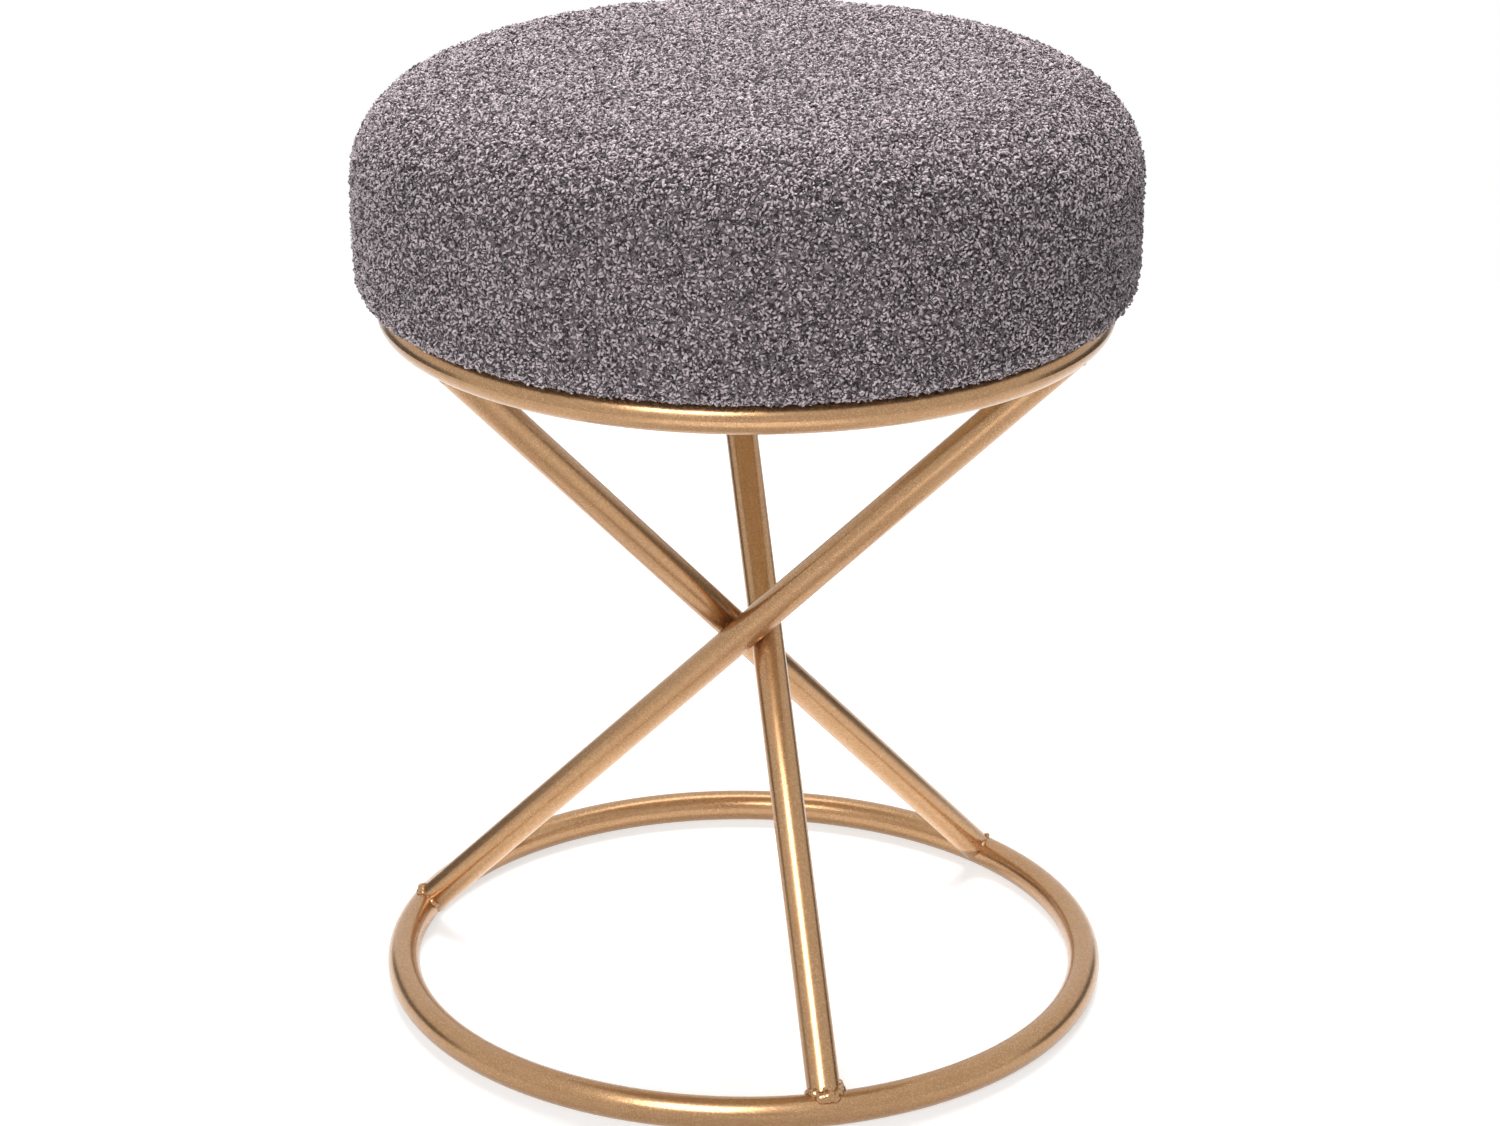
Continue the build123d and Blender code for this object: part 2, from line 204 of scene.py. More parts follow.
def mesh_from(bm, name):
    """A new mesh with the shape of the bmesh."""
    mesh = bpy.data.meshes.new(name)
    bm.to_mesh(mesh)
    bm.free()
    return mesh


def object_from(bm, name):
    """A new object with the shape of the bmesh."""
    made = bpy.data.objects.new(name, mesh_from(bm, name))
    bpy.context.scene.collection.objects.link(made)
    return made


def bare_material(name):
    """A node material and its tree, which is still empty."""
    material = bpy.data.materials.new(name)
    material.use_nodes = True
    material.node_tree.nodes.clear()
    return material, material.node_tree


def grey(level):
    """Colour with the same amount of red, green and blue."""
    return (level, level, level, 1)


bm = bmesh.new()
bmesh.ops.create_grid(bm, x_segments=1, y_segments=1, size=FLOOR_REACH)
floor = object_from(bm, "floor")
floor_paint, tree = bare_material("white_sweep")
seen = seen_directly(tree)
matt = wire(tree, "ShaderNodeBsdfDiffuse", {"Color": grey(FLOOR_GREY)})
lift = maths(tree, "MULTIPLY", seen, FLOOR_LIFT)
glow = wire(tree, "ShaderNodeEmission", {"Color": WHITE, "Strength": lift})
near = wire(tree, "ShaderNodeAddShader", {0: matt.outputs[0], 1: glow.outputs[0]})
place = wire(tree, "ShaderNodeTexCoord").outputs["Object"]
away = wire(tree, "ShaderNodeVectorMath", {0: place}, operation="LENGTH").outputs["Value"]
fade = maths(tree, "MULTIPLY", seen, remap(tree, away, FLOOR_NEAR, FLOOR_FAR))
far = wire(tree, "ShaderNodeEmission", {"Color": WHITE, "Strength": 1.0})
sweep = wire(tree, "ShaderNodeMixShader", {0: fade, 1: near.outputs[0], 2: far.outputs[0]})
wire(tree, "ShaderNodeOutputMaterial", {"Surface": sweep.outputs[0]})
floor.data.materials.append(floor_paint)
print("floor that fades to white from", FLOOR_NEAR, "to", FLOOR_FAR, "m")

# %% [markdown]
# ## Lamps and cards
#
# Cloth shows the light that falls on it, and metal shows what surrounds it, so each gets its own
# lamps. Three light the cloth and the floor: one behind and above, one in front, and a small one
# below for the light that a white floor throws back up. Two light the metal and draw the bright
# stripes along the tubes. Four cards are seen by reflections alone: a dark one at each side gives
# the tubes their dark edges, a dim one stands behind the camera, and a bright one lies in front.

# %% Softboxes and cards
STOOL_MIDDLE = Vector((0, 0, SEAT_TOP / 2))
SOFTBOXES = {
    "back_softbox": dict(at=(0.1, 1.45, 2.2), width=2.0, height=0.9, power=109, on_cloth=True),
    "front_softbox": dict(at=(-0.45, -1.8, 1.05), width=0.7, height=0.5, power=20, on_cloth=True),
    "under_softbox": dict(at=(0, 0, 0.012), width=0.26, height=0.26, power=1.5, on_cloth=True),
    "stripe_softbox": dict(at=(-0.40, -1.2, 1.5), width=0.8, height=1.1, power=29, on_cloth=False),
    "top_softbox": dict(at=(0.1, 0.35, 1.95), width=1.0, height=1.0, power=9, on_cloth=False),
}
CARDS = {
    "card_right": dict(at=(0.95, 0.44, 0.15), width=0.95, height=0.30, level=0.08),
    "card_left": dict(at=(-0.95, 0.44, 0.15), width=0.95, height=0.30, level=0.10),
    "card_camera": dict(at=(0.1, -2.6, 1.0), width=0.9, height=0.35, level=0.3),
    "card_floor": dict(at=(0, -0.85, 0.004), width=0.6, height=0.8, level=2.1,
                       target=(0, -0.85, 1)),
}


def aimed(name, data, at, target=STOOL_MIDDLE):
    """Places an object so that its front looks at a target, by default the stool's middle."""
    made = bpy.data.objects.new(name, data)
    bpy.context.scene.collection.objects.link(made)
    towards = (Vector(target) - Vector(at)).to_track_quat("-Z", "Y")
    made.matrix_world = Matrix.Translation(at) @ towards.to_matrix().to_4x4()
    return made


def softbox(name, at, width, height, power, on_cloth):
    """Soft lamp aimed at the stool, which lights either the cloth and the floor or the metal."""
    lamp = bpy.data.lights.new(name, "AREA")
    lamp.shape = "RECTANGLE"
    lamp.size = width
    lamp.size_y = height
    lamp.energy = power
    made = aimed(name, lamp, at)
    made.visible_camera = False
    made.visible_diffuse = on_cloth
    made.visible_glossy = not on_cloth


def card(name, at, width, height, level, target=STOOL_MIDDLE):
    """Panel that only reflections see, darker than the surroundings where its level is below 1."""
    bm = bmesh.new()
    stretch = Matrix.Diagonal((width / 2, height / 2, 1, 1))
    bmesh.ops.create_grid(bm, x_segments=1, y_segments=1, size=1, matrix=stretch)
    paint, tree = bare_material(name)
    glow = wire(tree, "ShaderNodeEmission", {"Color": grey(level), "Strength": 1.0})
    wire(tree, "ShaderNodeOutputMaterial", {"Surface": glow.outputs[0]})
    mesh = mesh_from(bm, name)
    mesh.materials.append(paint)
    made = aimed(name, mesh, at, target)
    made.visible_camera = False
    made.visible_diffuse = False
    made.visible_transmission = False
    made.visible_shadow = False


for name, setup in SOFTBOXES.items():
    softbox(name, **setup)
for name, setup in CARDS.items():
    card(name, **setup)
print(len(SOFTBOXES), "softboxes and", len(CARDS), "cards")

# %% [markdown]
# ## Patterns that several finishes share
#
# Metal flakes, zinc crystals and foam cells are all a fine grain, and paint, cloth and pile are
# all a little patchy. Each of the two patterns could be drawn anew in every finish. As a node
# group it is built once, and every finish places it with its own values.


# %% Node groups
def new_group(name, inputs, outputs):
    """A node group with a place and numbers as inputs and numbers as outputs, and its end nodes."""
    group = bpy.data.node_groups.new(name, "ShaderNodeTree")
    group.interface.new_socket("Vector", in_out="INPUT", socket_type="NodeSocketVector")
    for socket, value in inputs.items():
        made = group.interface.new_socket(socket, in_out="INPUT", socket_type="NodeSocketFloat")
        made.default_value = value
    for socket in outputs:
        group.interface.new_socket(socket, in_out="OUTPUT", socket_type="NodeSocketFloat")
    return group, group.nodes.new("NodeGroupInput"), group.nodes.new("NodeGroupOutput")


def speckle_group():
    """Fine even grain: small cells of random height, blended with a soft noise."""
    group, begin, end = new_group("speckle", {"Scale": 1500.0, "Softness": 0.5}, ["Height", "Cell"])
    fine = {"Vector": begin.outputs["Vector"], "Scale": begin.outputs["Scale"]}
    cells = wire(group, "ShaderNodeTexVoronoi", fine)
    tint = wire(group, "ShaderNodeSeparateColor", {0: cells.outputs["Color"]})
    grain = wire(group, "ShaderNodeTexNoise", fine)
    height = wire(group, "ShaderNodeMix",
                  {0: begin.outputs["Softness"], 2: tint.outputs[0], 3: grain.outputs[0]})
    set_inputs(group, end, {"Height": height.outputs[0], "Cell": tint.outputs[1]})
    return group


def blotch_group():
    """Slow uneven patches from 0 to 1."""
    group, begin, end = new_group("blotch", {"Scale": 30.0, "Contrast": 1.0}, ["Patch"])
    slow = wire(group, "ShaderNodeTexNoise", {"Vector": begin.outputs["Vector"],
                                              "Scale": begin.outputs["Scale"], "Detail": 3.0})
    centred = maths(group, "SUBTRACT", slow.outputs[0], 0.5)
    patch = maths(group, "MULTIPLY_ADD", centred, begin.outputs["Contrast"], 0.5, clamp=True)
    set_inputs(group, end, {"Patch": patch})
    return group


SPECKLE = speckle_group()
BLOTCH = blotch_group()
print("node groups:", SPECKLE.name, BLOTCH.name)

# %% [markdown]
# ## Gold paint
#
# The frame is sprayed with a champagne gold metallic paint. Fine metal flakes in it tilt a little
# each way, which spreads the reflections and breaks the highlights into tiny glints. Real flakes
# are far too many to model, so a fine grain pushes the normal about, and a few of its cells get a
# paler gold as painted glints.

# %% Champagne gold paint
LEGS = ("leg_1", "leg_2", "leg_3")
TABS = ("seat_tab_1", "seat_tab_2", "seat_tab_3")
GOLD_DEEP = (0.372, 0.206, 0.095)
GOLD_PALE = (0.420, 0.236, 0.112)
GOLD_PAINTED_GLINT = (0.54, 0.34, 0.185)
GLINT_RARITY = 3.0
TUBE_ROUGHNESS = 0.27
WELD_ROUGHNESS = 0.2
ROUGHNESS_SPREAD = 0.02


def new_material(name):
    """A node material: its tree, its Principled shader and the piece's own coordinates."""
    material = bpy.data.materials.new(name)
    material.use_nodes = True
    tree = material.node_tree
    where = wire(tree, "ShaderNodeTexCoord").outputs["Object"]
    return material, tree, tree.nodes["Principled BSDF"], where


def place_group(tree, group, **values):
    """Puts a node group into a material with its own values, and returns its outputs."""
    return wire(tree, "ShaderNodeGroup", values, node_tree=group).outputs


def gold_paint(name, roughness):
    """Satin metallic paint over steel."""
    material, tree, surface, where = new_material(name)
    flakes = place_group(tree, SPECKLE, Vector=where, Scale=2200.0, Softness=0.4)
    patches = place_group(tree, BLOTCH, Vector=where, Scale=45.0, Contrast=1.4)["Patch"]
    tone = blend(tree, patches, GOLD_DEEP, GOLD_PALE)
    # Painted glints: a few flake cells take a paler gold.
    few = maths(tree, "POWER", flakes["Cell"], GLINT_RARITY)
    satin = remap(tree, patches, to_low=roughness - ROUGHNESS_SPREAD,
                  to_high=roughness + ROUGHNESS_SPREAD)
    set_inputs(tree, surface, {
        "Base Color": blend(tree, few, tone, GOLD_PAINTED_GLINT),
        "Roughness": satin,
        "Normal": bump(tree, flakes["Height"], strength=0.03, distance=0.05 * MM),
        "Metallic": 0.90,
        "Coat Weight": 0.22,
        "Coat Roughness": 0.16,
    })
    return material


tube_gold = gold_paint("champagne_gold_paint", TUBE_ROUGHNESS)
for node in ("base_ring", "seat_ring", *LEGS, *TABS, "tab_welds"):
    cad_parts[node].data.materials[0] = tube_gold
print("painted the frame")

# %% [markdown]
# ## Welds
#
# A weld is a row of molten drops that froze one after another. Each bead is a chain of balls along
# the seam where a leg saddles its ring, shaken a little from a fixed seed. A voxel remesh fuses
# the balls into one skin, and a smooth pass lets it flow. A tube along the seam would be simpler,
# but too even. The feet are welded coarsely, with thick drops and some spatter, the heads are
# dressed smooth, and at the waist a short tack ties each pair of legs.

# %% Find the seams
EAR_STOP = 4 * MM


def points_of(mesh):
    """All vertex places of a mesh as rows of an array."""
    places = np.zeros(len(mesh.vertices) * 3)
    mesh.vertices.foreach_get("co", places)
    return places.reshape(-1, 3)


def leg_line(node):
    """A point on a leg's axis and the axis's way up, from the middles of its two halves."""
    places = points_of(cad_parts[node].data)
    middle = places.mean(axis=0)
    upper = places[:, 2] > middle[2]
    up = Vector(places[upper].mean(axis=0) - places[~upper].mean(axis=0)).normalized()
    return Vector(middle), up


def at_height(line, z):
    """Point of a leg's axis at a height."""
    point, up = line
    return point + up * ((z - point.z) / up.z)


def seam_point(on_ring, out, turn, lift=0.0, sink=0.0):
    """Point of the seam between a leg's end and its ring, at a turn in degrees about the leg."""
    tangent = Vector((-on_ring.y, on_ring.x, 0)).normalized()
    along_ring = (tangent - out * tangent.dot(out)).normalized()
    side = out.cross(along_ring)
    angle = math.radians(turn)
    climb = max(EAR_STOP, TUBE_R * abs(math.sin(angle)))
    round_leg = side * math.cos(angle) + along_ring * math.sin(angle)
    return on_ring + round_leg * (TUBE_R - sink) + out * (climb + lift)


lines = {leg: leg_line(leg) for leg in LEGS}
leans = [math.degrees(up.angle(Vector((0, 0, 1)))) for point, up in lines.values()]
print("legs lean", [round(lean, 1) for lean in leans], "degrees")

# %% Lay the drops
# A loose drop of a foot is given by its turn about the leg in degrees, its lift and its radius in
# mm, and a drop of a tack by its step along the legs in mm and its share of the full radius.
WELD_SEED = 5
FOOT_BEAD_R = {"leg_1": 2.2 * MM, "leg_2": 1.1 * MM, "leg_3": 1.3 * MM}
FOOT_BEAD = dict(drops=20, unevenness=0.3, sink=0.7 * MM)
FOOT_DROPS = {
    "leg_1": [(226, 0.2, 3.0), (204, -0.9, 3.4), (182, -0.6, 3.6), (158, -0.9, 3.3),
              (136, 0.2, 3.0), (112, 0.8, 2.8), (97, 2.2, 2.3), (103, 4.4, 1.5),
              (190, 3.2, 1.3), (250, 0.2, 2.3)],
    "leg_2": [(262, 0.3, 1.7), (205, 0.2, 1.7), (60, 0.0, 1.7)],
    "leg_3": [(178, 0.2, 2.3), (164, 1.6, 2.2), (148, 0.2, 2.4), (170, 3.2, 1.6),
              (190, -0.4, 1.9), (152, 2.8, 1.5), (134, 0.6, 1.8), (84, 0.2, 2.2),
              (70, 0.8, 2.0), (98, -0.2, 1.5)],
}
HEAD_BEAD_R = 1.5 * MM
HEAD_BEAD = dict(drops=60, unevenness=0.06, sink=1.3 * MM)
TACK_R = 3.2 * MM
TACK_DROPS = ((-2.6, 0.7), (0, 1.0), (2.6, 0.75))


def add_ball(bm, at, radius):
    """One drop of weld metal."""
    bmesh.ops.create_icosphere(bm, subdivisions=2, radius=radius, matrix=Matrix.Translation(at))


def add_bead(bm, on_ring, out, radius, dice, drops, unevenness, sink):
    """Chain of drops round the seam at one end of a leg."""
    for drop in range(drops):
        way = Vector((dice.gauss(0, 1), dice.gauss(0, 1), dice.gauss(0, 1)))
        shake = way * radius * unevenness / 2
        size = radius * (1 + unevenness * dice.uniform(-1, 1))
        add_ball(bm, seam_point(on_ring, out, 360 * drop / drops, sink=sink) + shake, size)


dice = Random(WELD_SEED)
feet, heads, tacks = bmesh.new(), bmesh.new(), bmesh.new()
for leg, (point, up) in lines.items():
    foot = at_height((point, up), TUBE_R)
    head = at_height((point, up), SEAT_RING_Z)
    add_bead(feet, foot, up, FOOT_BEAD_R[leg], dice, **FOOT_BEAD)
    add_bead(heads, head, -up, HEAD_BEAD_R, dice, **HEAD_BEAD)
    for turn, lift, radius in FOOT_DROPS[leg]:
        add_ball(feet, seam_point(foot, up, turn, lift * MM), radius * MM)
for first, second in (("leg_1", "leg_2"), ("leg_2", "leg_3"), ("leg_3", "leg_1")):
    (a, a_up), (b, b_up) = lines[first], lines[second]
    touch = sum(intersect_line_line(a, a + a_up, b, b + b_up), Vector()) / 2
    along = (a_up + b_up).normalized()
    for step, share in TACK_DROPS:
        add_ball(tacks, touch + along * step * MM, TACK_R * share)
print("laid drops with", [len(drops.verts) for drops in (feet, heads, tacks)], "points")

# %% Melt the welds
WELD_VOXEL = 0.4 * MM
FLOW_FACTOR = 0.5
FOOT_FLOW = 7
HEAD_FLOW = 6
TACK_FLOW = 4


def baked(source, name):
    """A new object that holds the evaluated mesh of another, which is removed."""
    depsgraph = bpy.context.evaluated_depsgraph_get()
    mesh = bpy.data.meshes.new_from_object(source.evaluated_get(depsgraph))
    made = bpy.data.objects.new(name, mesh)
    bpy.context.scene.collection.objects.link(made)
    bpy.data.objects.remove(source)
    return made


def shade_smooth(mesh):
    """Rounds the shading of all faces."""
    mesh.polygons.foreach_set("use_smooth", [True] * len(mesh.polygons))


def finish_piece(piece, material, stands_for=()):
    """Paints a piece and fixes it to the stool in place of the solids it stands for."""
    shade_smooth(piece.data)
    piece.data.materials.clear()
    piece.data.materials.append(material)
    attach(piece, "root")
    if stands_for:
        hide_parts(*stands_for)
    print(f"{piece.name}: {len(piece.data.polygons)} faces")
    return piece


def add_remesh(piece, voxel):
    """Adds a modifier that turns closed forms into one skin of even squares."""
    remesh = piece.modifiers.new("squares", "REMESH")
    remesh.mode = "VOXEL"
    remesh.voxel_size = voxel


def melt(bm, name, passes):
    """Fuses drops into one skin and lets it flow."""
    balls = object_from(bm, name + "_drops")
    add_remesh(balls, WELD_VOXEL)
    flow = balls.modifiers.new("flow", "SMOOTH")
    flow.factor = FLOW_FACTOR
    flow.iterations = passes
    return baked(balls, name)


weld_gold = gold_paint("weld_gold", WELD_ROUGHNESS)
finish_piece(melt(feet, "foot_weld_beads", FOOT_FLOW), weld_gold, ["foot_welds"])
finish_piece(melt(heads, "head_weld_seams", HEAD_FLOW), weld_gold, ["head_welds"])
finish_piece(melt(tacks, "waist_weld_tacks", TACK_FLOW), weld_gold, ["waist_welds"])

# %% [markdown]
# ## Cushion cover
#
# The cushion is foam on a board with a boucle cover pulled over it and stapled underneath. Its
# section has a nearly flat top, a wide round shoulder, an upright side and a small roll where it
# meets the ring. A bevelled cylinder would have no crown and the same round at both rims. So a
# vertex spun about each arc's centre draws the section, and a full spin makes the form.

# %% Draw the cushion's section and spin it
SHOULDER_R = 46 * MM
CROWN_R = 2400 * MM
ROLL_R = 11 * MM
SIDE_DRAW = 0.5 * MM
HEM_W = 45 * MM
PILE_DEPTH = 0.7 * MM
HEM_LIFT = 0.6 * MM
TOP_DROP = -0.3 * MM
BOARD_R = SEAT_R - SIDE_DRAW - ROLL_R
HEM_R = BOARD_R - HEM_W
CROWN_TURN = math.asin((SEAT_R - SHOULDER_R) / (CROWN_R - SHOULDER_R))
SHOULDER_Z = SEAT_TOP - CROWN_R + (CROWN_R - SHOULDER_R) * math.cos(CROWN_TURN)
COVER_STEPS = dict(crown=24, shoulder=14, roll=8, turn=144)
MERGE_GAP = 0.01 * MM


def draw_arc(bm, start, centre_x, centre_z, turn, steps):
    """Spins a vertex about a point of the section into an arc and returns its last vertex."""
    spun = bmesh.ops.spin(bm, geom=[start], cent=(centre_x, 0, centre_z), axis=(0, 1, 0),
                          angle=turn, steps=steps)
    return next(item for item in spun["geom_last"] if isinstance(item, bmesh.types.BMVert))


def draw_line(bm, start, x, z):
    """Adds a straight edge of the section and returns its last vertex."""
    end = bm.verts.new((x, 0, z))
    bm.edges.new((start, end))
    return end


def draw_outside(bm, inset, drop, roll_z, steps):
    """Draws crown, shoulder, side and roll, drawn in by inset and lowered by drop on top."""
    last = bm.verts.new((0, 0, SEAT_TOP - drop - inset))
    last = draw_arc(bm, last, 0, SEAT_TOP - drop - CROWN_R, CROWN_TURN, steps["crown"])
    last = draw_arc(bm, last, SEAT_R - SHOULDER_R, SHOULDER_Z - drop, math.pi / 2 - CROWN_TURN,
                    steps["shoulder"])
    last = draw_line(bm, last, BOARD_R + ROLL_R - inset, roll_z)
    return draw_arc(bm, last, BOARD_R, roll_z, math.pi / 2, steps["roll"])


def spin_round(bm, steps):
    """Spins the section a full turn about the stool's axis and closes its seam and its poles."""
    bmesh.ops.spin(bm, geom=bm.verts[:] + bm.edges[:], cent=(0, 0, 0), axis=(0, 0, 1),
                   angle=2 * math.pi, steps=steps, use_merge=True)
    bmesh.ops.remove_doubles(bm, verts=bm.verts, dist=MERGE_GAP)


def cushion_form():
    """Closed round form of the cover, without the pile."""
    bm = bmesh.new()
    roll_z = SEAT_BOTTOM + HEM_LIFT + ROLL_R - PILE_DEPTH
    last = draw_outside(bm, PILE_DEPTH, TOP_DROP, roll_z, COVER_STEPS)
    draw_line(bm, last, HEM_R, SEAT_BOTTOM + HEM_LIFT)
    spin_round(bm, COVER_STEPS["turn"])
    bmesh.ops.holes_fill(bm, edges=[edge for edge in bm.edges if edge.is_boundary])
    bmesh.ops.recalc_face_normals(bm, faces=bm.faces)
    return bm


cushion_start = object_from(cushion_form(), "cushion_start")
print("cushion form:", len(cushion_start.data.polygons), "faces")

# %% [markdown]
# ## Filling the cover
#
# Foam presses a cover outwards until the cloth is tight. Sculpting could imitate that, but a cloth
# simulation with air pressure does it by itself: the form is remeshed into even squares, its
# underside is held where the staples hold it, and the rest swells. A cap on how far a point may
# move keeps the cushion at its measured size.

# %% Swell the cover
COVER_VOXEL = 5.5 * MM
PRESSURE = 4.0
STIFFNESS = 40
SWELL = 2.5 * MM
SWELL_FRAMES = 20


def normals_of(mesh):
    """All vertex normals of a mesh as rows of an array."""
    normals = np.zeros(len(mesh.vertices) * 3)
    mesh.vertex_normals.foreach_get("vector", normals)
    return normals.reshape(-1, 3)


def swell(cover):
    """Blows the cover up with its underside held. Points move only outwards and within the cap."""
    start = points_of(cover.data)
    outwards = normals_of(cover.data)
    held = cover.vertex_groups.new(name="held")
    low = np.nonzero(start[:, 2] < SEAT_BOTTOM + ROLL_R / 2)[0]
    held.add([int(i) for i in low], 1.0, "REPLACE")
    cloth = cover.modifiers.new("swell", "CLOTH")
    cloth.settings.effector_weights.gravity = 0
    cloth.settings.use_pressure = True
    cloth.settings.uniform_pressure_force = PRESSURE
    cloth.settings.tension_stiffness = STIFFNESS
    cloth.settings.compression_stiffness = STIFFNESS
    cloth.settings.vertex_group_mass = held.name
    cloth.collision_settings.use_collision = False
    for step in range(1, SWELL_FRAMES + 1):
        bpy.context.scene.frame_set(step)
    swollen = baked(cover, "cushion_swollen")
    bpy.context.scene.frame_set(1)
    rise = np.sum((points_of(swollen.data) - start) * outwards, axis=1, keepdims=True)
    capped = start + outwards * np.clip(rise, 0, SWELL)
    swollen.data.vertices.foreach_set("co", capped.ravel())
    print(f"cover swelled by up to {rise.max() / MM:.1f} mm, kept within {SWELL / MM:.1f} mm")
    return swollen


add_remesh(cushion_start, COVER_VOXEL)
cover = baked(cushion_start, "cushion_squares")
cover = swell(cover)
smooth = cover.modifiers.new("smooth", "SUBSURF")
smooth.levels = smooth.render_levels = 1
cover = baked(cover, "boucle_cover")
print("cover:", len(cover.data.polygons), "faces")

# %% [markdown]
# ## Wear in the cushion
#
# A cushion is never quite even. In use, and from the way the cover was pulled, this one slumps at
# its left shoulder, hardly at its right one, and has slow lumps where the foam pushes. Moving the
# points by a smooth function of their place gives that without any new faces.

# %% Settle the cushion
LEFT_SLUMP = 5.6 * MM
RIGHT_SLUMP = 0.4 * MM
LUMP = 0.5 * MM
LUMPS_PER_M = 14.0


def settle(piece):
    """Lowers the left shoulder more than the right one and adds slow lumps."""
    places = points_of(piece.data)
    outwards = normals_of(piece.data)
    across = places[:, 0] / SEAT_R
    upper = np.clip((places[:, 2] - SEAT_BOTTOM) / (SEAT_TOP - SEAT_BOTTOM), 0, 1) ** 2
    slump = np.where(across < 0, LEFT_SLUMP, RIGHT_SLUMP)
    places[:, 2] -= upper * slump * np.clip(across, -1, 1) ** 2
    lump = np.array([noise.noise(Vector(place) * LUMPS_PER_M) for place in places])
    places += outwards * (LUMP * lump * upper)[:, None]
    piece.data.vertices.foreach_set("co", places.ravel())
    piece.data.update()


settle(cover)
print(f"settled the cushion by up to {LEFT_SLUMP / MM:.1f} mm")

# %% [markdown]
# ## Foam pad
#
# The foam fills the cover and sits over the board like a cap. It is the same section drawn in a
# little further, and nothing shows of it from outside, so a plain spin is enough. Its finish has
# the small open cells of cut foam.

# %% Make the foam pad
FOAM_INSET = 6.0 * MM
FOAM_DROP = 4.0 * MM
FOAM_STEPS = dict(crown=10, shoulder=10, roll=6, turn=96)
FOAM_DEEP = (0.68, 0.62, 0.47)
FOAM_PALE = (0.86, 0.81, 0.68)
board_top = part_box("seat_board")[1].z


def foam_form():
    """Foam cap over the board, as a closed spun section."""
    bm = bmesh.new()
    last = draw_outside(bm, FOAM_INSET, FOAM_DROP, SEAT_BOTTOM + ROLL_R, FOAM_STEPS)
    last = draw_line(bm, last, BOARD_R, board_top)
    draw_line(bm, last, 0, board_top)
    spin_round(bm, FOAM_STEPS["turn"])
    bmesh.ops.recalc_face_normals(bm, faces=bm.faces)
    return bm


def upholstery_foam():
    """Cream open-cell foam."""
    material, tree, surface, where = new_material("upholstery_foam")
    cells = place_group(tree, SPECKLE, Vector=where, Scale=900.0, Softness=0.3)["Height"]
    set_inputs(tree, surface, {
        "Base Color": blend(tree, cells, FOAM_DEEP, FOAM_PALE),
        "Roughness": 0.95,
        "Normal": bump(tree, cells, strength=0.5, distance=0.4 * MM),
        "Specular IOR Level": 0.2,
    })
    return material


foam = object_from(foam_form(), "foam_core")
finish_piece(foam, upholstery_foam(), ["foam_pad"])

# %% [markdown]
# ## Curls of the boucle pile
#
# Boucle yarn stands off its backing in small curls. Hair would draw them finer, but only a mesh
# outlives the export. So a curl is a strand of three-sided yarn, spun about half a turn or more
# and drawn sideways as it turns, so that both its ends sink into the backing. It needs only
# fifteen faces. Five curls that differ in size and lean are enough, because each copy is turned
# and scaled at random.

# %% Make the curls
YARN_R = 0.55 * MM
YARN_SIDES = 3
CURL_STEPS = 5
ROOT_DEPTH = 0.45 * MM
CURLS = {
    "plain_loop": dict(turns=0.62, tilt=86, loop=0.76 * MM, rise=0.5 * MM, roll=0),
    "small_loop": dict(turns=0.70, tilt=75, loop=0.60 * MM, rise=0.7 * MM, roll=20),
    "leaning_loop": dict(turns=0.72, tilt=55, loop=0.80 * MM, rise=0.4 * MM, roll=-25),
    "wide_loop": dict(turns=0.58, tilt=80, loop=0.95 * MM, rise=0.9 * MM, roll=15),
    "loose_end": dict(turns=0.46, tilt=82, loop=1.25 * MM, rise=0.8 * MM, roll=48),
}


def lay_out_curl(bm):
    """Unrolls a curl into the unit square, the yarn to the right and round it upwards."""
    layout = bm.loops.layers.uv.new("OFBake")
    along = bm.verts.layers.float["along"]
    side_of = {}
    for face in bm.faces:
        corners = list(face.loops)
        low = min(corner.vert[along] for corner in corners)
        high = max(corner.vert[along] for corner in corners)
        side = side_of[low] = side_of.get(low, -1) + 1
        for corner in corners:
            ahead = corner.vert[along] == high
            pair = [c for c in corners if (c.vert[along] == high) == ahead]
            round_yarn = side + (0.5 if len(pair) == 1 else float(corner is pair[-1]))
            corner[layout].uv = (high if ahead else low, round_yarn / YARN_SIDES)


def verts_in(items):
    """The vertices among the parts of a bmesh."""
    return [item for item in items if isinstance(item, bmesh.types.BMVert)]


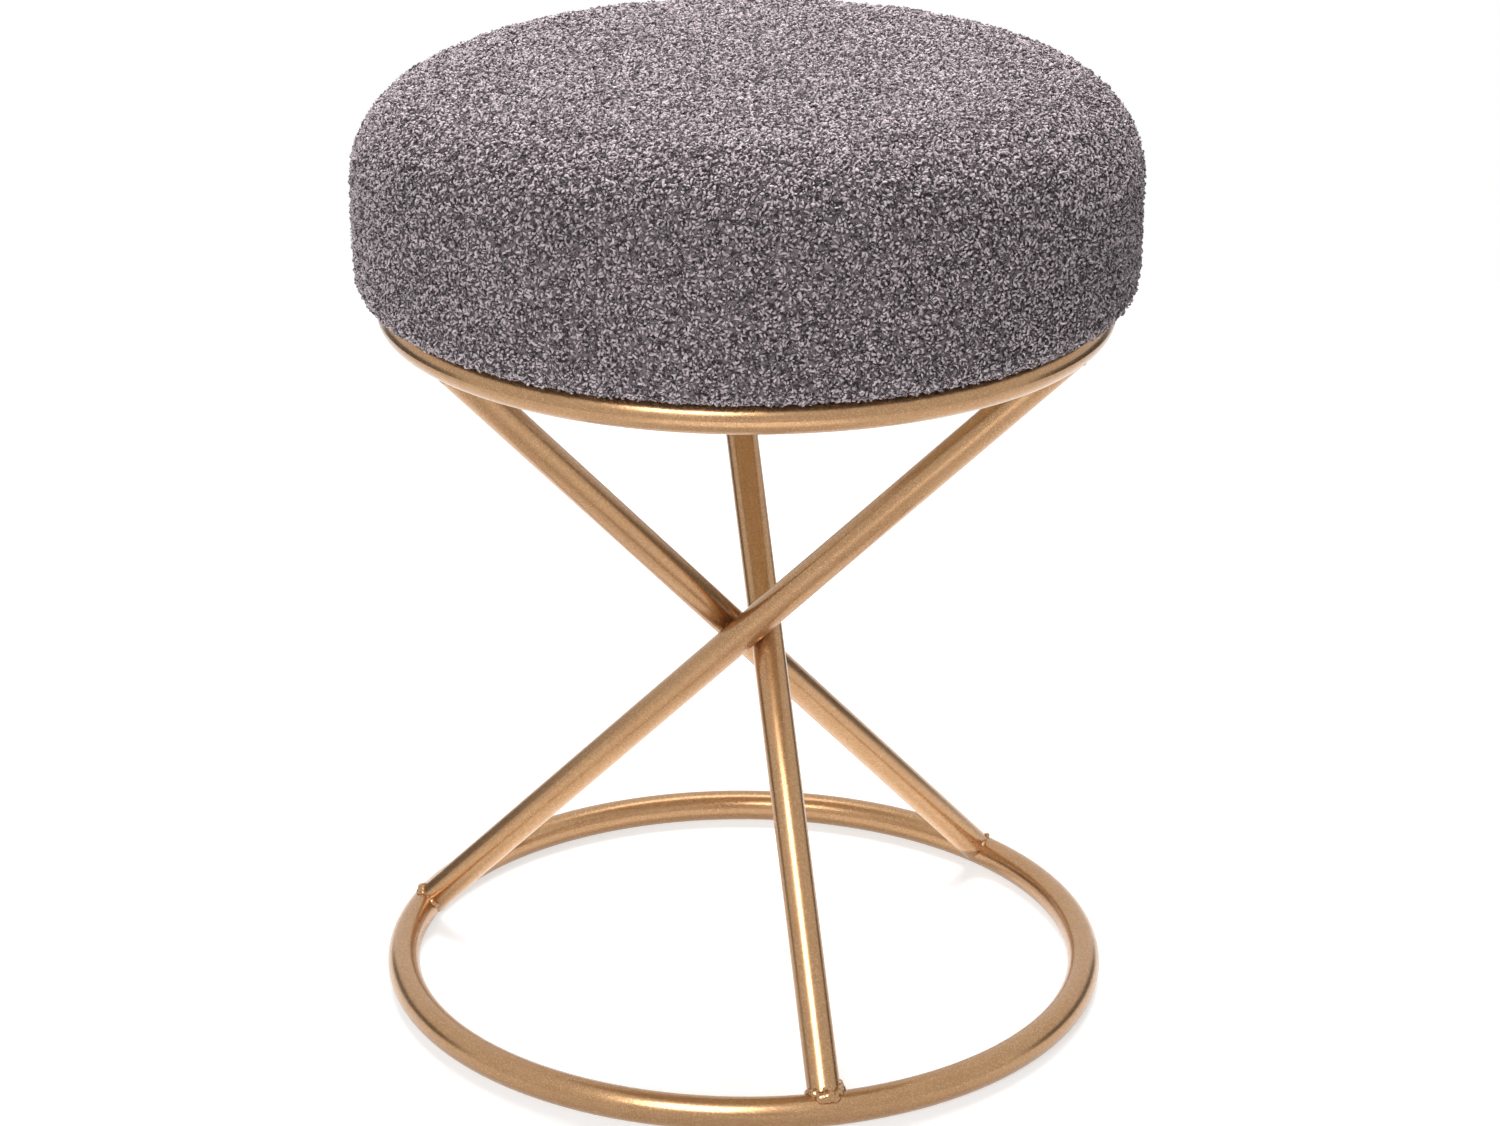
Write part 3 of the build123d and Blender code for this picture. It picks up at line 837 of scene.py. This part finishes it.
def make_curl(name, turns, tilt, loop, rise, roll):
    """One curl of yarn, standing on the backing at the origin."""
    bm = bmesh.new()
    across = Matrix.Translation((loop, 0, 0)) @ Matrix.Rotation(math.pi / 2, 4, "X")
    bmesh.ops.create_circle(bm, segments=YARN_SIDES, radius=YARN_R, matrix=across)
    along = bm.verts.layers.float.new("along")
    ring = bm.verts[:] + bm.edges[:]
    tips = [verts_in(ring)]
    for step in range(CURL_STEPS):
        spun = bmesh.ops.spin(bm, geom=ring, cent=(0, 0, 0), axis=(0, 0, 1), steps=1,
                              angle=turns * 2 * math.pi / CURL_STEPS,
                              dvec=(0, 0, rise / CURL_STEPS))
        ring = spun["geom_last"]
        for vert in verts_in(ring):
            vert[along] = (step + 1) / CURL_STEPS
    tips.append(verts_in(ring))
    for tip in tips:
        middle = sum((vert.co for vert in tip), Vector()) / YARN_SIDES
        bmesh.ops.pointmerge(bm, verts=tip, merge_co=middle)
    bmesh.ops.recalc_face_normals(bm, faces=bm.faces)
    stand = math.pi * (0.5 - turns) + math.radians(roll)
    bmesh.ops.rotate(bm, verts=bm.verts, matrix=Matrix.Rotation(stand, 3, "Z"))
    bmesh.ops.rotate(bm, verts=bm.verts, matrix=Matrix.Rotation(math.radians(tilt), 3, "X"))
    lowest = min(vert.co.z for vert in bm.verts)
    bmesh.ops.translate(bm, verts=bm.verts, vec=(0, 0, -ROOT_DEPTH - lowest))
    lay_out_curl(bm)
    made = bpy.data.objects.new(name, mesh_from(bm, name))
    shade_smooth(made.data)
    return made


curl_box = bpy.data.collections.new("curls")
for name, shape in CURLS.items():
    made = make_curl(name, **shape)
    curl_box.objects.link(made)
CURL_CORNERS = len(made.data.loops)
print(len(CURLS), "curls of", len(made.data.polygons), "faces")

# %% [markdown]
# ## Scattering the pile
#
# Some 65,000 curls cover the cushion, far too many to place by hand. Geometry nodes scatter them
# evenly over the cover, stand each one on its surface and turn, lean and scale it at random from a
# fixed seed. On the real cloth the curls bunch into clumps with crevices between them, so a cell
# pattern with wavy edges makes the curls smaller along those edges. A weight on the cover keeps
# the pile off the parts of the hem that press on the ring. The pile is split into wedges, so that
# no single mesh grows too heavy.

# %% Weigh the cover for the pile
RING_PRESS = 4.0 * MM
PRESS_MARGIN = 1.5 * MM
dust_low, dust_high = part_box("dust_cover")
DUST_R = dust_high.x


def pile_weight(places):
    """1 where the pile stands free, 0 on the hem where the ring and the dust cover press on it."""
    out = np.hypot(places[:, 0], places[:, 1])
    under = places[:, 2] < SEAT_BOTTOM + HEM_LIFT + PRESS_MARGIN
    on_ring = np.abs(out - SEAT_RING_R) < RING_PRESS
    return np.where(under & (on_ring | (out < DUST_R + PRESS_MARGIN)), 0.0, 1.0)


weight = cover.data.attributes.new("pile", "FLOAT", "POINT")
weight.data.foreach_set("value", pile_weight(points_of(cover.data)).astype(np.float32))
print("weighed", len(cover.data.vertices), "points of the cover")

# %% Nodes that scatter the curls
CURL_GAP = 1.3 * MM
CURL_DENSITY = 1200000.0
CURL_LEAN = 0.35
CURL_SCALE = (0.85, 1.15)
SCATTER_SEED, PICK_SEED, SCALE_SEED, TURN_SEED, TONE_SEED = 7, 1, 2, 3, 4
CLUMPS_PER_M = 225.0
CLUMP_WARP = 2.6 * MM
CLUMP_EDGE = (0.02, 0.09)
CLUMP_SCALE = (0.60, 1.10)
WEDGES = 10


def random_value(tree, kind, low, high, seed):
    """Random value between two limits."""
    made = wire(tree, "FunctionNodeRandomValue", data_type=kind)
    limits = [socket for socket in made.inputs if socket.enabled and socket.name in ("Min", "Max")]
    limits[0].default_value = low
    limits[1].default_value = high
    next(socket for socket in made.inputs if socket.name == "Seed").default_value = seed
    return next(socket for socket in made.outputs if socket.enabled)


def clump_field(tree, place):
    """1 in the middle of a clump of curls, 0 in the crevice between two clumps."""
    drift = wire(tree, "ShaderNodeTexNoise",
                 {"Vector": place, "Scale": CLUMPS_PER_M, "Detail": 1.0})
    centred = wire(tree, "ShaderNodeVectorMath",
                   {0: drift.outputs["Color"], 1: (0.5, 0.5, 0.5)}, operation="SUBTRACT")
    moved = wire(tree, "ShaderNodeVectorMath",
                 {0: centred.outputs[0], 1: (CLUMP_WARP,) * 3, 2: place}, operation="MULTIPLY_ADD")
    cells = wire(tree, "ShaderNodeTexVoronoi",
                 {"Vector": moved.outputs[0], "Scale": CLUMPS_PER_M}, feature="DISTANCE_TO_EDGE")
    return remap(tree, cells.outputs["Distance"], *CLUMP_EDGE, interpolation_type="SMOOTHSTEP")


def other_wedges(tree, place, number):
    """True for points outside the wedge with the given number."""
    place = wire(tree, "ShaderNodeSeparateXYZ", {0: place}).outputs
    bearing = maths(tree, "ARCTAN2", place["Y"], place["X"])
    wedge = maths(tree, "FLOOR", remap(tree, bearing, -math.pi, math.pi, 0.0, float(WEDGES)))
    other = wire(tree, "FunctionNodeCompare", {0: wedge, 1: number}, operation="NOT_EQUAL")
    return other.outputs[0]


def pile_nodes():
    """Geometry nodes that stand curls on a cover and keep those of one wedge."""
    tree = bpy.data.node_groups.new("boucle_pile", "GeometryNodeTree")
    tree.interface.new_socket("Geometry", in_out="INPUT", socket_type="NodeSocketGeometry")
    tree.interface.new_socket("Wedge", in_out="INPUT", socket_type="NodeSocketInt")
    tree.interface.new_socket("Geometry", in_out="OUTPUT", socket_type="NodeSocketGeometry")
    begin = wire(tree, "NodeGroupInput").outputs
    place = wire(tree, "GeometryNodeInputPosition").outputs[0]
    weight = wire(tree, "GeometryNodeInputNamedAttribute", {"Name": "pile"}, data_type="FLOAT")
    points = wire(tree, "GeometryNodeDistributePointsOnFaces", {
        "Mesh": begin["Geometry"], "Distance Min": CURL_GAP, "Density Max": CURL_DENSITY,
        "Density Factor": weight.outputs["Attribute"], "Seed": SCATTER_SEED,
    }, distribute_method="POISSON").outputs
    kept = wire(tree, "GeometryNodeDeleteGeometry", {
        "Geometry": points["Points"], "Selection": other_wedges(tree, place, begin["Wedge"]),
    }, domain="POINT")
    fullness = remap(tree, clump_field(tree, place), 0.0, 1.0, *CLUMP_SCALE)
    curls = wire(tree, "GeometryNodeCollectionInfo", {
        "Collection": curl_box, "Separate Children": True, "Reset Children": True,
    })
    stood = wire(tree, "GeometryNodeInstanceOnPoints", {
        "Points": kept.outputs[0], "Instance": curls.outputs[0], "Pick Instance": True,
        "Instance Index": random_value(tree, "INT", 0, len(CURLS) - 1, PICK_SEED),
        "Rotation": points["Rotation"],
        "Scale": maths(tree, "MULTIPLY", fullness,
                       random_value(tree, "FLOAT", *CURL_SCALE, SCALE_SEED)),
    })
    turn_low = (-CURL_LEAN, -CURL_LEAN, 0.0)
    turn_high = (CURL_LEAN, CURL_LEAN, 2 * math.pi)
    turned = wire(tree, "GeometryNodeRotateInstances", {
        "Instances": stood.outputs[0],
        "Rotation": random_value(tree, "FLOAT_VECTOR", turn_low, turn_high, TURN_SEED),
    })
    toned = wire(tree, "GeometryNodeStoreNamedAttribute", {
        "Geometry": turned.outputs[0], "Name": "tone",
        "Value": random_value(tree, "FLOAT", 0.0, 1.0, TONE_SEED),
    }, data_type="FLOAT", domain="INSTANCE")
    real = wire(tree, "GeometryNodeRealizeInstances", {"Geometry": toned.outputs[0]})
    wire(tree, "NodeGroupOutput", {"Geometry": real.outputs[0]})
    return tree


PILE = pile_nodes()
print("pile tree of", len(PILE.nodes), "nodes")

# %% Scatter the curls
CELL_SHARE = 0.9
CELL_MARGIN = 0.05


def spread_layout(mesh):
    """Moves each curl's layout into a cell of its own."""
    layout = mesh.uv_layers["OFBake"]
    flat = np.zeros(len(mesh.loops) * 2, np.float32)
    layout.data.foreach_get("uv", flat)
    curl = np.arange(len(mesh.loops)) // CURL_CORNERS
    side = math.ceil(math.sqrt(curl[-1] + 1))
    cell = np.stack([curl % side, curl // side], axis=1)
    placed = (flat.reshape(-1, 2) * CELL_SHARE + CELL_MARGIN + cell) / side
    layout.data.foreach_set("uv", placed.astype(np.float32).ravel())


def pile_wedge(number):
    """The pile on one wedge of the cover, as a mesh of its own."""
    source = bpy.data.objects.new("pile_source", cover.data.copy())
    bpy.context.scene.collection.objects.link(source)
    scatter = source.modifiers.new("scatter", "NODES")
    scatter.node_group = PILE
    scatter[PILE.interface.items_tree["Wedge"].identifier] = number
    wedge = baked(source, f"boucle_pile_{number + 1}")
    spread_layout(wedge.data)
    return wedge


wedges = [pile_wedge(number) for number in range(WEDGES)]
print("curls:", sum(len(wedge.data.loops) for wedge in wedges) // CURL_CORNERS)

# %% [markdown]
# ## Boucle finish
#
# Every curl has a tone of its own between a deep and a pale mauve grey, and the pile is a little
# patchy. Deep in real pile hardly any light is left. The modelled curls are fewer and let more
# light through, so their roots and the crevices between the clumps get painted shade. The backing
# below is painted dark too, as shade under the pile, with the roots of the yarn as paler dots.

# %% Boucle yarn and backing
YARN_DEEP = (0.42, 0.347, 0.372)
YARN_PALE = (0.82, 0.708, 0.748)
YARN_CREVICE_SHADE = (0.012, 0.009, 0.010)
YARN_ROOT_SHADE = (0.06, 0.049, 0.053)
ROOT_SHADE_BAND = (0.24, 0.48)
PATCH_SHARE = 0.25
BACKING_SHADE_DEEP = (0.035, 0.028, 0.031)
BACKING_SHADE_PALE = (0.22, 0.185, 0.197)
BACKING_EDGE = (0.40, 0.62)


def boucle_yarn():
    """Mauve grey yarn with a tone for each curl and slow patches, and painted shade at its roots
    and in the crevices.
    """
    material, tree, surface, where = new_material("boucle_yarn")
    tone = wire(tree, "ShaderNodeAttribute", attribute_name="tone").outputs["Fac"]
    along = wire(tree, "ShaderNodeAttribute", attribute_name="along").outputs["Fac"]
    patches = place_group(tree, BLOTCH, Vector=where, Scale=28.0, Contrast=1.6)["Patch"]
    patchy = maths(tree, "MULTIPLY", patches, PATCH_SHARE)
    mixed = maths(tree, "MULTIPLY_ADD", tone, 1 - PATCH_SHARE, patchy)
    colour = blend(tree, mixed, YARN_DEEP, YARN_PALE)
    # Painted shade: the crevices between clumps go nearly black.
    crevice_shaded = blend(tree, clump_field(tree, where), YARN_CREVICE_SHADE, colour)
    from_middle = maths(tree, "ABSOLUTE", maths(tree, "SUBTRACT", along, 0.5))
    # Painted shade: both ends of each curl, where it sinks into the pile, go dark.
    root = remap(tree, from_middle, *ROOT_SHADE_BAND)
    set_inputs(tree, surface, {
        "Base Color": blend(tree, root, crevice_shaded, YARN_ROOT_SHADE),
        "Roughness": 0.6,
        "Specular IOR Level": 0.45,
        "Sheen Weight": 0.2,
        "Sheen Roughness": 0.4,
    })
    return material


def boucle_backing():
    """Knitted ground between the curls, painted dark as shade under the pile, with the roots of the
    yarn as paler dots.
    """
    material, tree, surface, where = new_material("boucle_backing")
    roots = place_group(tree, SPECKLE, Vector=where, Scale=620.0, Softness=0.75)["Height"]
    dots = remap(tree, roots, *BACKING_EDGE)
    set_inputs(tree, surface, {
        # The whole backing is painted dark as shade under the pile.
        "Base Color": blend(tree, dots, BACKING_SHADE_DEEP, BACKING_SHADE_PALE),
        "Roughness": 0.9,
        "Normal": bump(tree, roots, strength=0.8, distance=0.8 * MM),
        "Specular IOR Level": 0.2,
    })
    return material


yarn = boucle_yarn()
for wedge in wedges:
    finish_piece(wedge, yarn)
finish_piece(cover, boucle_backing(), ["seat_cover"])

# %% [markdown]
# ## Dust cover
#
# A thin non-woven cloth closes the underside. It is stapled near its rim and sags a little in the
# middle. A cloth simulation could hang it, but so little sag needs none: its disc is spun from a
# line and then moved by a smooth function of its place.

# %% Make the dust cover
DUST_SAG = 1.4 * MM
DUST_PUCKER = 0.25 * MM
DUST_FLAT_R = 122 * MM
DUST_STAPLES = 15
DUST_RINGS = 26
DUST_SIDES = 180
CREASES_PER_M = 30.0
CREASE_SHARE = 0.5
PUCKER_POWER = 6
CLOTH_DEEP = (0.47, 0.385, 0.27)
CLOTH_PALE = (0.54, 0.45, 0.32)
CLOTH_DOT = (0.40, 0.325, 0.225)
DOT_EDGE = (0.18, 0.34)
FIBRE_SHARE = 0.3


def dust_form():
    """Thin cloth disc that sags in the middle and puckers between its staples."""
    bm = bmesh.new()
    height = (dust_low.z + dust_high.z) / 2
    last = bm.verts.new((0, 0, height))
    for ring in range(1, DUST_RINGS + 1):
        last = draw_line(bm, last, DUST_R * ring / DUST_RINGS, height)
    spin_round(bm, DUST_SIDES)
    for vert in bm.verts:
        out = vert.co.xy.length
        middle = max(0.0, 1 - (out / DUST_FLAT_R) ** 2)
        crease = CREASE_SHARE * noise.noise(vert.co * CREASES_PER_M) * middle
        wave = math.sin(DUST_STAPLES * math.atan2(vert.co.y, vert.co.x))
        pucker = wave * (out / DUST_R) ** PUCKER_POWER
        vert.co.z += DUST_SAG * (crease - middle) + DUST_PUCKER * pucker
    bmesh.ops.recalc_face_normals(bm, faces=bm.faces)
    if sum(face.normal.z for face in bm.faces) > 0:
        bmesh.ops.reverse_faces(bm, faces=bm.faces)
    return bm


def non_woven_cloth():
    """Beige spun cloth with rows of pressed dots."""
    material, tree, surface, where = new_material("non_woven_cloth")
    dots = wire(tree, "ShaderNodeTexVoronoi",
                {"Vector": where, "Scale": 620.0, "Randomness": 0.25})
    raised = remap(tree, dots.outputs["Distance"], *DOT_EDGE)
    fibres = place_group(tree, SPECKLE, Vector=where, Scale=1800.0, Softness=0.8)["Height"]
    patches = place_group(tree, BLOTCH, Vector=where, Scale=24.0, Contrast=1.2)["Patch"]
    cloth = blend(tree, patches, CLOTH_DEEP, CLOTH_PALE)
    height = maths(tree, "MULTIPLY_ADD", fibres, FIBRE_SHARE, raised)
    set_inputs(tree, surface, {
        "Base Color": blend(tree, raised, CLOTH_DOT, cloth),
        "Roughness": 0.8,
        "Normal": bump(tree, height, strength=0.4, distance=0.2 * MM),
        "Specular IOR Level": 0.25,
    })
    return material


dust = object_from(dust_form(), "dust_cloth")
finish_piece(dust, non_woven_cloth(), ["dust_cover"])

# %% [markdown]
# ## Board and steel parts
#
# The board and the small steel parts come from the construction model and only need a finish.
# Plywood has long grain on its faces and shows the edges of its plies round its rim. A noise
# stretched along one axis gives the grain, and waves stacked in height give the plies, so both
# stay in place on every side. The screws, washers, tee nuts and staples are plated with zinc.

# %% Finishes of the board and the steel parts
PLY_DEEP = (0.34, 0.20, 0.095)
PLY_PALE = (0.60, 0.43, 0.24)
PLY_STRETCH = (9.0, 140.0, 140.0)
PLY_SHARE = 0.35
ZINC_DEEP = (0.52, 0.53, 0.55)
ZINC_PALE = (0.70, 0.71, 0.73)
ZINC_ROUGHNESS = (0.26, 0.42)


def plywood():
    """Pale plywood: long grain on its faces and the edges of its plies round its rim."""
    material, tree, surface, where = new_material("plywood")
    stretched = wire(tree, "ShaderNodeMapping", {"Vector": where, "Scale": PLY_STRETCH})
    grain = wire(tree, "ShaderNodeTexNoise",
                 {"Vector": stretched.outputs[0], "Scale": 1.0, "Detail": 5.0}).outputs[0]
    plies = wire(tree, "ShaderNodeTexWave", {"Vector": where, "Scale": 80.0}, bands_direction="Z")
    both = maths(tree, "MULTIPLY_ADD", plies.outputs["Fac"], PLY_SHARE, grain)
    set_inputs(tree, surface, {
        "Base Color": blend(tree, both, PLY_DEEP, PLY_PALE),
        "Roughness": 0.7,
        "Normal": bump(tree, grain, strength=0.2, distance=0.2 * MM),
    })
    return material


def zinc_plate():
    """Bright zinc with a fine crystal grain."""
    material, tree, surface, where = new_material("zinc_plate")
    grain = place_group(tree, SPECKLE, Vector=where, Scale=1400.0, Softness=0.5)
    set_inputs(tree, surface, {
        "Base Color": blend(tree, grain["Cell"], ZINC_DEEP, ZINC_PALE),
        "Metallic": 1.0,
        "Roughness": remap(tree, grain["Height"], 0.0, 1.0, *ZINC_ROUGHNESS),
    })
    return material


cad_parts["seat_board"].data.materials[0] = plywood()
zinc = zinc_plate()
for node in ("tee_nuts", "seat_screws", "screw_washers", "cover_staples", "dust_staples"):
    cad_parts[node].data.materials[0] = zinc
print("finished the board and the steel parts")
